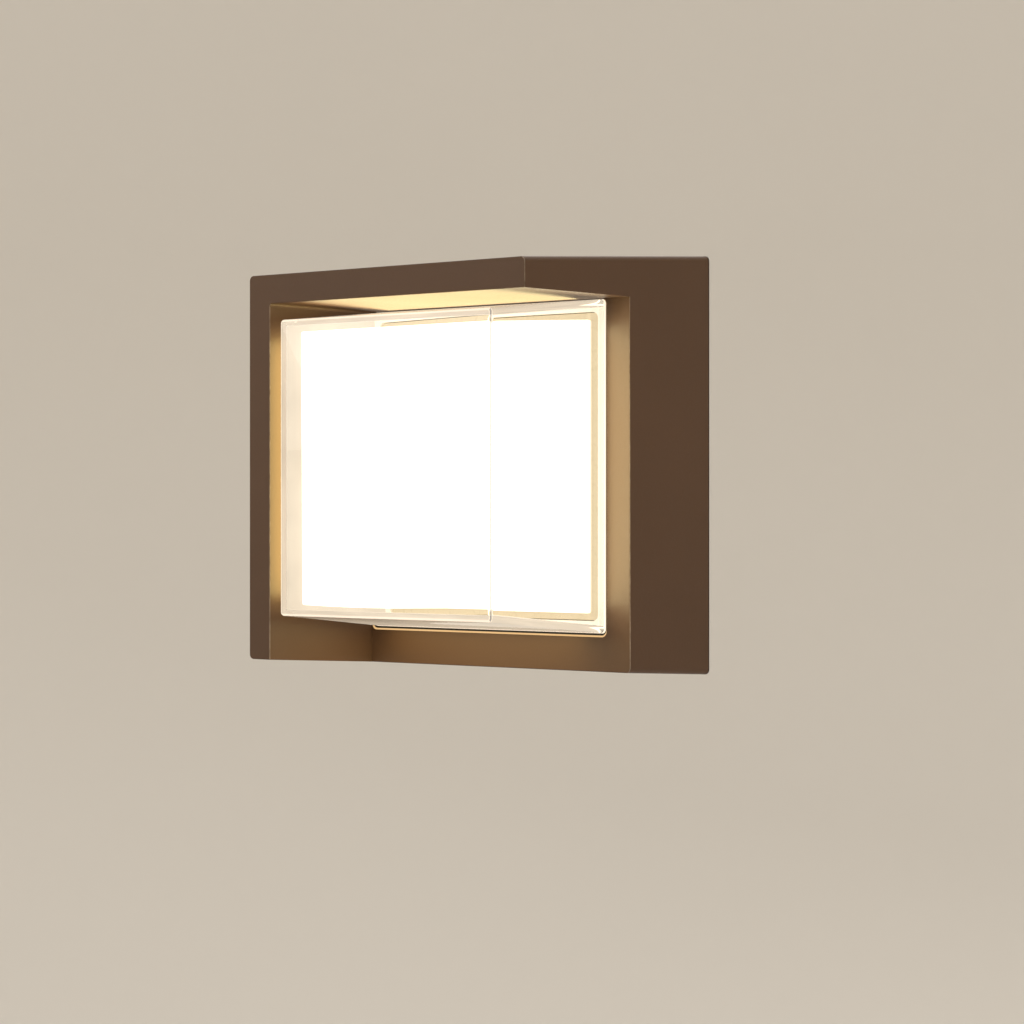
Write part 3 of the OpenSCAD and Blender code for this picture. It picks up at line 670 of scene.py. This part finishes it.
def clear_cover():
    """The cover as a shell, with painted light on its root collar and eased edges, painted shade on its right
    front corner edge, and frosted inner faces with painted light.
    """
    root, rear, front = box_rect("lens_cover")
    mesh = bmesh.new()
    outer = shell_side(mesh, root, rear, front, COVER_DRAFT, 0, COVER_EDGE, RIM_EDGE, COLLAR)
    first_inner = len(mesh.faces)
    inner_front = front - COVER_WALL
    inner = shell_side(mesh, root, rear, inner_front, COVER_DRAFT, COVER_WALL, COVER_INNER_EDGE, INNER_RIM)
    last_inner = len(mesh.faces) - 1
    bridge(mesh, outer, inner)
    thing = piece("clear_cover", mesh, "clear_acrylic", 50)
    lit, eased, frosted, corner = add_finishes(thing, PAINTED_LIGHT_EDGE, EASED_EDGE, FROSTED_PAINTED_GLOW_SKIN, CORNER_EDGE)
    for face in thing.data.polygons:
        way = face.normal
        ds = [-thing.data.vertices[v].co.y for v in face.vertices]
        if first_inner <= face.index <= last_inner:
            # Inner faces at the top, bottom and right are frosted and take painted light.
            if abs(way.z) > SKIN_SLANT or way.x > SKIN_SLANT:
                face.material_index = frosted
        # The root collar takes painted light.
        elif max(ds) < COLLAR_D + SAME_D:
            face.material_index = lit
        elif min(ds) > front - RIM_EDGE - SAME_D and max(ds) - min(ds) > SAME_D:
            # Eased faces that face right and out take the painted shade, the others the painted glow.
            face.material_index = corner if way.x > CORNER_SLANT and way.y < -CORNER_SLANT else eased
    return stand_for(thing, "lens_cover")


def opal_box():
    """The opal box as a shell, with its flange."""
    flange, rear, front = box_rect("diffuser")
    root = inset(flange, FLANGE_OUT)
    top = rear + FLANGE_T
    box = inset(root, (top - rear) * OPAL_DRAFT)
    rim = [
        rounded(flange, FLANGE_EDGE, rear),
        rounded(flange, FLANGE_EDGE, top - FLANGE_RIM),
        rounded(inset(flange, FLANGE_RIM), FLANGE_EDGE - FLANGE_RIM, top),
        rounded(box, OPAL_EDGE, top),
    ]
    mesh = bmesh.new()
    outer = loft(mesh, rim)[0]
    shell_side(mesh, box, top, front, OPAL_DRAFT, 0, OPAL_EDGE, OPAL_RIM)
    inner_front = front - OPAL_WALL
    inner = shell_side(mesh, root, rear, inner_front, OPAL_DRAFT, OPAL_WALL, OPAL_INNER_EDGE, OPAL_INNER_RIM)
    bridge(mesh, outer, inner)
    bmesh.ops.remove_doubles(mesh, verts=mesh.verts, dist=SEAM)
    return stand_for(piece("opal_box", mesh, "opal_acrylic", 50), "diffuser")


clear_cover()
opal_box()

# ---- Screws, in rows made by a node tree ----


def screw_mesh(name, slot, length, shank_r, head_r, head_t, socket_r, pitch):
    """A socket screw that points along +y, with the underside of its head at the origin."""
    mesh = bmesh.new()
    sides = 24

    def ring(r, y, hexagon=False):
        points = []
        for k in range(sides):
            a = 2 * math.pi * k / sides
            reach = r
            if hexagon:
                reach = r * math.cos(math.pi / 6) / math.cos((a + math.pi / 6) % (math.pi / 3) - math.pi / 6)
            points.append(Vector((reach * math.cos(a), y, reach * math.sin(a))))
        return points

    ease = 0.15 * head_t
    socket = ((0.2, 0.42), (1.0, 0.4), (1.0, 1.0))  # shares of its radius, and of the head's height
    rows = [ring(socket_r * reach, -height * head_t, True) for reach, height in socket]
    rows += [ring(head_r - ease * (1 + 1.2 * (1 - t)), -head_t + ease * t * t) for t in (0.0, 0.5)]
    rows += [ring(head_r - ease * 0.3, -head_t + ease * 0.6), ring(head_r, -head_t + 1.4 * ease)]
    rows += [ring(head_r, -0.1 * head_t), ring(head_r - 0.1 * head_t, 0.0), ring(shank_r, 0.0)]
    y = 0.6 * pitch
    while y < length - pitch:
        rows += [ring(shank_r, y), ring(shank_r * 0.86, y + 0.5 * pitch)]
        y += pitch
    rows += [ring(shank_r, y), ring(shank_r * 0.8, length)]
    first, last = loft(mesh, rows)
    mesh.faces.new(first)
    mesh.faces.new(last)
    return piece(name, mesh, slot, 40)


def row_tree():
    """Sets a part out in columns and rows, each turned at random about its own axis."""
    tree = bpy.data.node_groups.new("set out in rows", "GeometryNodeTree")
    face = tree.interface
    ids = {}
    for name, kind, value in (
        ("Part", "NodeSocketObject", None),
        ("Finish", "NodeSocketMaterial", None),
        ("Columns", "NodeSocketInt", 2),
        ("Rows", "NodeSocketInt", 2),
        ("Column pitch", "NodeSocketFloat", 0.02),
        ("Row pitch", "NodeSocketFloat", 0.02),
        ("Centre", "NodeSocketVector", (0.0, 0.0, 0.0)),
        ("Turn", "NodeSocketFloat", 0.0),
        ("Seed", "NodeSocketInt", 7),
    ):
        socket = face.new_socket(name=name, in_out="INPUT", socket_type=kind)
        if value is not None:
            socket.default_value = value
        ids[name] = socket.identifier
    face.new_socket(name="Geometry", in_out="OUTPUT", socket_type="NodeSocketGeometry")

    def add(kind, settings=None, inputs=None):
        node = tree.nodes.new(kind)
        for key, value in (settings or {}).items():
            setattr(node, key, value)
        for key, value in (inputs or {}).items():
            if isinstance(value, bpy.types.NodeSocket):
                tree.links.new(value, node.inputs[key])
            else:
                node.inputs[key].default_value = value
        return node.outputs

    def maths(operation, first, second):
        return add("ShaderNodeMath", {"operation": operation}, {0: first, 1: second})[0]

    given = add("NodeGroupInput")
    index = add("GeometryNodeInputIndex")[0]
    column = maths("MODULO", index, given["Columns"])
    row = maths("FLOOR", maths("DIVIDE", index, given["Columns"]), 0.0)

    def offset(number, count, pitch):
        middle = maths("DIVIDE", maths("SUBTRACT", count, 1.0), 2.0)
        return maths("MULTIPLY", maths("SUBTRACT", number, middle), pitch)

    x = offset(column, given["Columns"], given["Column pitch"])
    z = offset(row, given["Rows"], given["Row pitch"])
    at = add("ShaderNodeCombineXYZ", {}, {"X": x, "Z": z})[0]
    place = add("ShaderNodeVectorMath", {"operation": "ADD"}, {0: at, 1: given["Centre"]})[0]
    count = maths("MULTIPLY", given["Columns"], given["Rows"])
    points = add("GeometryNodePoints", {}, {"Count": count, "Position": place})[0]
    turns = {2: 0.0, 3: given["Turn"], "Seed": given["Seed"]}
    turn = add("FunctionNodeRandomValue", {"data_type": "FLOAT"}, turns)[1]
    rotation = add("ShaderNodeCombineXYZ", {}, {"Y": turn})[0]
    part = add("GeometryNodeObjectInfo", {}, {"Object": given["Part"], "As Instance": True})["Geometry"]
    copies = {"Points": points, "Instance": part, "Rotation": rotation}
    many = add("GeometryNodeInstanceOnPoints", {}, copies)[0]
    real = add("GeometryNodeRealizeInstances", {}, {"Geometry": many})[0]
    done = add("GeometryNodeSetMaterial", {}, {"Geometry": real, "Material": given["Finish"]})[0]
    end = tree.nodes.new("NodeGroupOutput")
    tree.links.new(done, end.inputs[0])
    return tree, ids


ROW_TREE, ROW_IDS = row_tree()


def set_out(name, part, node, columns, rows, centre, pitches, turn=0.0, seed=7):
    """Rows of a part as one plain mesh, in place of a CAD node."""
    data = bpy.data.meshes.new(name)
    thing = bpy.data.objects.new(name, data)
    scene.collection.objects.link(thing)
    nodes = thing.modifiers.new("rows", "NODES")
    nodes.node_group = ROW_TREE
    for key, value in {
        "Part": part,
        "Finish": FINISHES[NODE_SLOT[node]],
        "Columns": columns,
        "Rows": rows,
        "Column pitch": pitches[0],
        "Row pitch": pitches[1],
        "Centre": centre,
        "Turn": turn,
        "Seed": seed,
    }.items():
        nodes[ROW_IDS[key]] = value
    settle(thing)
    return stand_for(thing, node)


# The radii of the shank, the head and the socket, the head's height and the thread's pitch.
M3 = {"shank_r": 1.5 * MM, "head_r": 2.8 * MM, "socket_r": 1.2 * MM, "head_t": 2 * MM, "pitch": 0.5 * MM}
M2_5 = {
    "shank_r": 1.25 * MM,
    "head_r": 2.5 * MM,
    "socket_r": 1.1 * MM,
    "head_t": 1.8 * MM,
    "pitch": 0.45 * MM,
}


def set_screws(name, node, columns, rows, size, outwards, seed):
    """A group of screws where the CAD has them. outwards: their heads face away from the wall."""
    rect, rear, front = box_rect(node)
    head_r, head_t = size["head_r"], size["head_t"]
    part = screw_mesh(name + "_pattern", NODE_SLOT[node], front - rear - head_t, **size)
    if outwards:
        under_head = -front + head_t
    else:
        under_head = -rear - head_t
        part.data.transform(Matrix.Rotation(math.pi, 4, "Z"))
    centre = ((rect[0] + rect[1]) / 2, under_head, (rect[2] + rect[3]) / 2)
    pitches = [
        (rect[1] - rect[0] - 2 * head_r) / max(columns - 1, 1),
        (rect[3] - rect[2] - 2 * head_r) / max(rows - 1, 1),
    ]
    made = set_out(name, part, node, columns, rows, centre, pitches, 2 * math.pi, seed)
    bpy.data.objects.remove(part)
    return made


set_screws("rear_plate_screws", "back_cover_screws", 2, 2, M3, False, 3)
set_screws("light_board_screws", "board_screws", 2, 2, M3, True, 5)
set_screws("driver_case_screws", "driver_screws", 2, 1, M3, False, 8)
set_screws("terminal_block_screws", "terminal_screws", 1, 2, M2_5, False, 11)


def led_mesh():
    """One LED: a square package with a shallow domed cap, facing away from the wall."""
    _, rear, front = box_rect("led_chips")
    half, tall = LED_SIDE / 2, front - rear
    mesh = bmesh.new()
    rows = []
    for share, corner_r, height in (
        (1.0, 0.2 * MM, 0.0),
        (1.0, 0.2 * MM, 0.6),
        (0.9, 0.3 * MM, 0.8),
        (0.6, 0.4 * MM, 0.95),
        (0.2, 0.2 * MM, 1.0),
    ):
        reach = share * half
        rows.append(rounded([-reach, reach, -reach, reach], corner_r, height * tall, 2))
    first, _ = loft(mesh, rows, close_last=True)
    mesh.faces.new(first)
    return piece("led_pattern", mesh, "phosphor")


def set_leds():
    """The LEDs on their board, in a square of rows."""
    rect, rear, _ = box_rect("led_chips")
    pitch = (rect[1] - rect[0] - LED_SIDE) / (LEDS_ACROSS - 1)
    part = led_mesh()
    centre = ((rect[0] + rect[1]) / 2, -rear, (rect[2] + rect[3]) / 2)
    set_out("leds", part, "led_chips", LEDS_ACROSS, LEDS_ACROSS, centre, (pitch, pitch))
    bpy.data.objects.remove(part)


set_leds()

# ---- Stage: a pale floor that curves up all round ----

FLOOR_Z = -0.75
FLOOR_R = 2.2
FLOOR_SIDES = 96
CURVE_R = 1.1
CURVE_STEPS = 12
MIDDLE_R = 0.4  # radius of the disc in the floor's middle
WALL_TOP = 2.6


def pale_floor():
    """A round floor whose edge curves up into a wall. It is stage, and no part of the lantern."""
    look = Look("pale studio floor", Specular_IOR_Level=0.2)
    cloud = look.noise(1.3, 2)
    look.set("Base Color", look.mix((0.74, 0.705, 0.65), (0.76, 0.725, 0.67), cloud))
    look.set("Roughness", look.between(look.noise(60), 0.3, 0.7, 0.85, 0.95))
    mesh = bmesh.new()
    profile = [(MIDDLE_R, FLOOR_Z), (FLOOR_R, FLOOR_Z)]
    for k in range(1, CURVE_STEPS + 1):
        a = math.pi / 2 * k / CURVE_STEPS
        profile.append((FLOOR_R + CURVE_R * math.sin(a), FLOOR_Z + CURVE_R * (1 - math.cos(a))))
    profile.append((FLOOR_R + CURVE_R, WALL_TOP))
    turns = [2 * math.pi * k / FLOOR_SIDES for k in range(FLOOR_SIDES)]
    rings = [[Vector((r * math.cos(a), r * math.sin(a), z)) for a in turns] for r, z in profile]
    first, _ = loft(mesh, rings)
    mesh.faces.new(first[::-1])
    for face in mesh.faces:
        face.smooth = True
    data = bpy.data.meshes.new("studio_floor")
    mesh.to_mesh(data)
    mesh.free()
    data.materials.append(look.material)
    floor = bpy.data.objects.new("studio_floor", data)
    scene.collection.objects.link(floor)


pale_floor()

# ---- Light ----

GLOW_GAP = 0.5 * MM  # the cover's lamps lie this far outside it

world = bpy.data.worlds.new("studio light")
world.use_nodes = True
background = world.node_tree.nodes["Background"]
background.inputs["Color"].default_value = (1.0, 0.965, 0.92, 1.0)
background.inputs["Strength"].default_value = 0.9
scene.world = world


def area_light(name, place, aim, size, power, colour):
    """A round studio lamp that points at aim. The camera doesn't see it."""
    light = bpy.data.lights.new(name, "AREA")
    light.shape = "DISK"
    light.size = size
    light.energy = power
    light.color = colour
    lamp = bpy.data.objects.new(name, light)
    lamp.location = place
    lamp.rotation_euler = (Vector(aim) - Vector(place)).to_track_quat("-Z", "Y").to_euler()
    lamp.visible_camera = False
    scene.collection.objects.link(lamp)
    return lamp


def glow(side, dx, dz, size, power, colour):
    """The light that the opal box throws out through one side of the cover, which it lies along."""
    light = bpy.data.lights.new(side + " glow", "AREA")
    light.shape = "RECTANGLE"
    light.size, light.size_y = size
    light.energy = power
    light.color = colour
    lamp = bpy.data.objects.new(side + " glow", light)
    rect, rear, front = box_rect("lens_cover")
    d = (BASE_D + front) / 2
    half = (rect[1] - rect[0]) / 2 - (d - rear) * COVER_DRAFT + GLOW_GAP
    lamp.location = ((rect[0] + rect[1]) / 2 + dx * half, -d, (rect[2] + rect[3]) / 2 + dz * half)
    out = Vector((dx, -COVER_DRAFT, dz)).normalized()
    across = Vector((abs(dz), 0, abs(dx)))
    lamp.rotation_euler = Matrix((across, across.cross(out), -out)).transposed().to_euler()
    lamp.visible_camera = False
    lamp.visible_transmission = False
    scene.collection.objects.link(lamp)
    lamp.parent = frame["bodies"]["lantern"]


glow("top", 0, 1, (0.13, 0.064), 0.096, (1.0, 0.84, 0.42))
glow("left", -1, 0, (0.126, 0.06), 0.16, (1.0, 0.88, 0.36))
glow("right", 1, 0, (0.132, 0.062), 0.17, (1.0, 0.9, 0.5))
glow("bottom", 0, -1, (0.132, 0.062), 0.085, (1.0, 0.88, 0.45))

middle = (cad_box[0] + cad_box[1]) / 2
area_light("soft key", (1.6, -1.3, 1.5), middle, 1.6, 14, (1.0, 0.96, 0.9))
area_light("soft fill", (-1.5, -1.6, 0.9), middle, 1.8, 7, (1.0, 0.97, 0.93))
area_light("rear fill", (-0.9, 1.9, 1.1), middle, 1.8, 10, (1.0, 0.97, 0.93))

# ---- Camera: level with the lantern, 44 degrees round to its right ----

CAMERA_TURN = math.radians(44.27)
CAMERA_AWAY = 1.61165
CAMERA_AIM = Vector((26.84, 1.25, -22.31)) * MM  # from the lantern's middle
aim = middle + CAMERA_AIM
camera_data = bpy.data.cameras.new("camera")
camera_data.lens = 118.0
camera_data.sensor_width = 36.0
camera_data.clip_start = 0.01
camera = bpy.data.objects.new("camera", camera_data)
camera.location = aim + CAMERA_AWAY * Vector((math.sin(CAMERA_TURN), -math.cos(CAMERA_TURN), 0.0))
camera.rotation_euler = (math.pi / 2, 0.0, CAMERA_TURN)
scene.collection.objects.link(camera)
scene.camera = camera
scene.view_settings.view_transform = "Standard"
